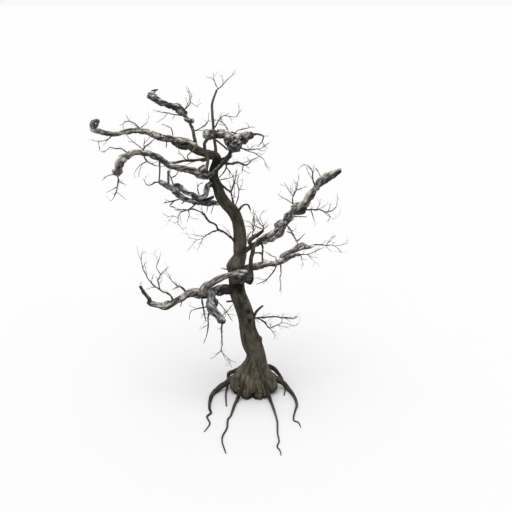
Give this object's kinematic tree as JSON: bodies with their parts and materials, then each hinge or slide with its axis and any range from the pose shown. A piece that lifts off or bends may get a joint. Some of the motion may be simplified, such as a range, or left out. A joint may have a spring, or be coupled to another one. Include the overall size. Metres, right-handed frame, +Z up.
{
  "type": "dead tree",
  "caption": "Dead, leafless tree with a leaning trunk on a fluted flare, surface roots, weathered silver boughs and sparse bare twigs, rooted in level ground.",
  "frame": {"origin": "middle of the flat cut under the trunk's flare, at ground level", "axes": "+Z up the tree, -Y towards the side that the front roots run to, +X to the right seen from there"},
  "size_m": [5.3357, 3.961, 6.603],
  "materials": {
    "bark": "matte, dark olive-brown bark",
    "weathered_wood": "matte, silver-grey weathered wood",
    "twig_bark": "matte, dry dark twigs"
  },
  "bodies": {
    "root": {"trunk": "bark", "root_front_left": "bark", "root_front_right": "bark", "root_side_left": "bark", "root_side_right": "bark", "root_back_left": "bark", "root_back_right": "bark", "root_back": "bark", "bough_top_left": "weathered_wood", "bough_high_left": "weathered_wood", "bough_high_left_stem": "weathered_wood", "bough_spire": "weathered_wood", "bough_burl": "weathered_wood", "bough_burl_left": "weathered_wood", "bough_bent_left": "weathered_wood", "bough_bent_left_drop": "weathered_wood", "bough_double_left_lower": "weathered_wood", "bough_double_left_upper": "weathered_wood", "bough_right": "weathered_wood", "bough_right_prong": "weathered_wood", "bough_right_drop": "weathered_wood", "bough_front_crossing": "weathered_wood", "bough_right_low": "weathered_wood", "bough_right_low_prong": "weathered_wood", "bough_left_low": "weathered_wood", "bough_front_leg": "weathered_wood", "twigs_top_left_mid": "twig_bark", "twigs_top_left_under": "twig_bark", "twigs_high_left": "twig_bark", "twigs_high_right": "twig_bark", "twigs_spire_tip": "twig_bark", "twigs_spire_right": "twig_bark", "twigs_stem_right": "twig_bark", "twigs_burl_right": "twig_bark", "twigs_burl_low": "twig_bark", "twigs_right_top": "twig_bark", "twigs_thin_left": "twig_bark", "twigs_bent_left_mid": "twig_bark", "twigs_bent_left_knee": "twig_bark", "twigs_bent_left_loop": "twig_bark", "twigs_bent_left_end": "twig_bark", "twigs_double_left_end": "twig_bark", "twigs_slender_left": "twig_bark", "twigs_right_inner": "twig_bark", "twigs_right_mid": "twig_bark", "twigs_right_high": "twig_bark", "twigs_right_out": "twig_bark", "twigs_right_drop": "twig_bark", "twigs_right_low_prong": "twig_bark", "twigs_right_low_tip": "twig_bark", "twigs_right_low_hang": "twig_bark", "twigs_right_low_far": "twig_bark", "twigs_left_low_tip": "twig_bark", "twigs_left_low_rise": "twig_bark", "twigs_left_low_inner": "twig_bark", "twigs_leg_end": "twig_bark", "twigs_leg_side": "twig_bark", "twigs_low_right": "twig_bark", "twigs_trunk_hook": "twig_bark", "twigs_trunk_right": "twig_bark"}
  },
  "joints": []
}
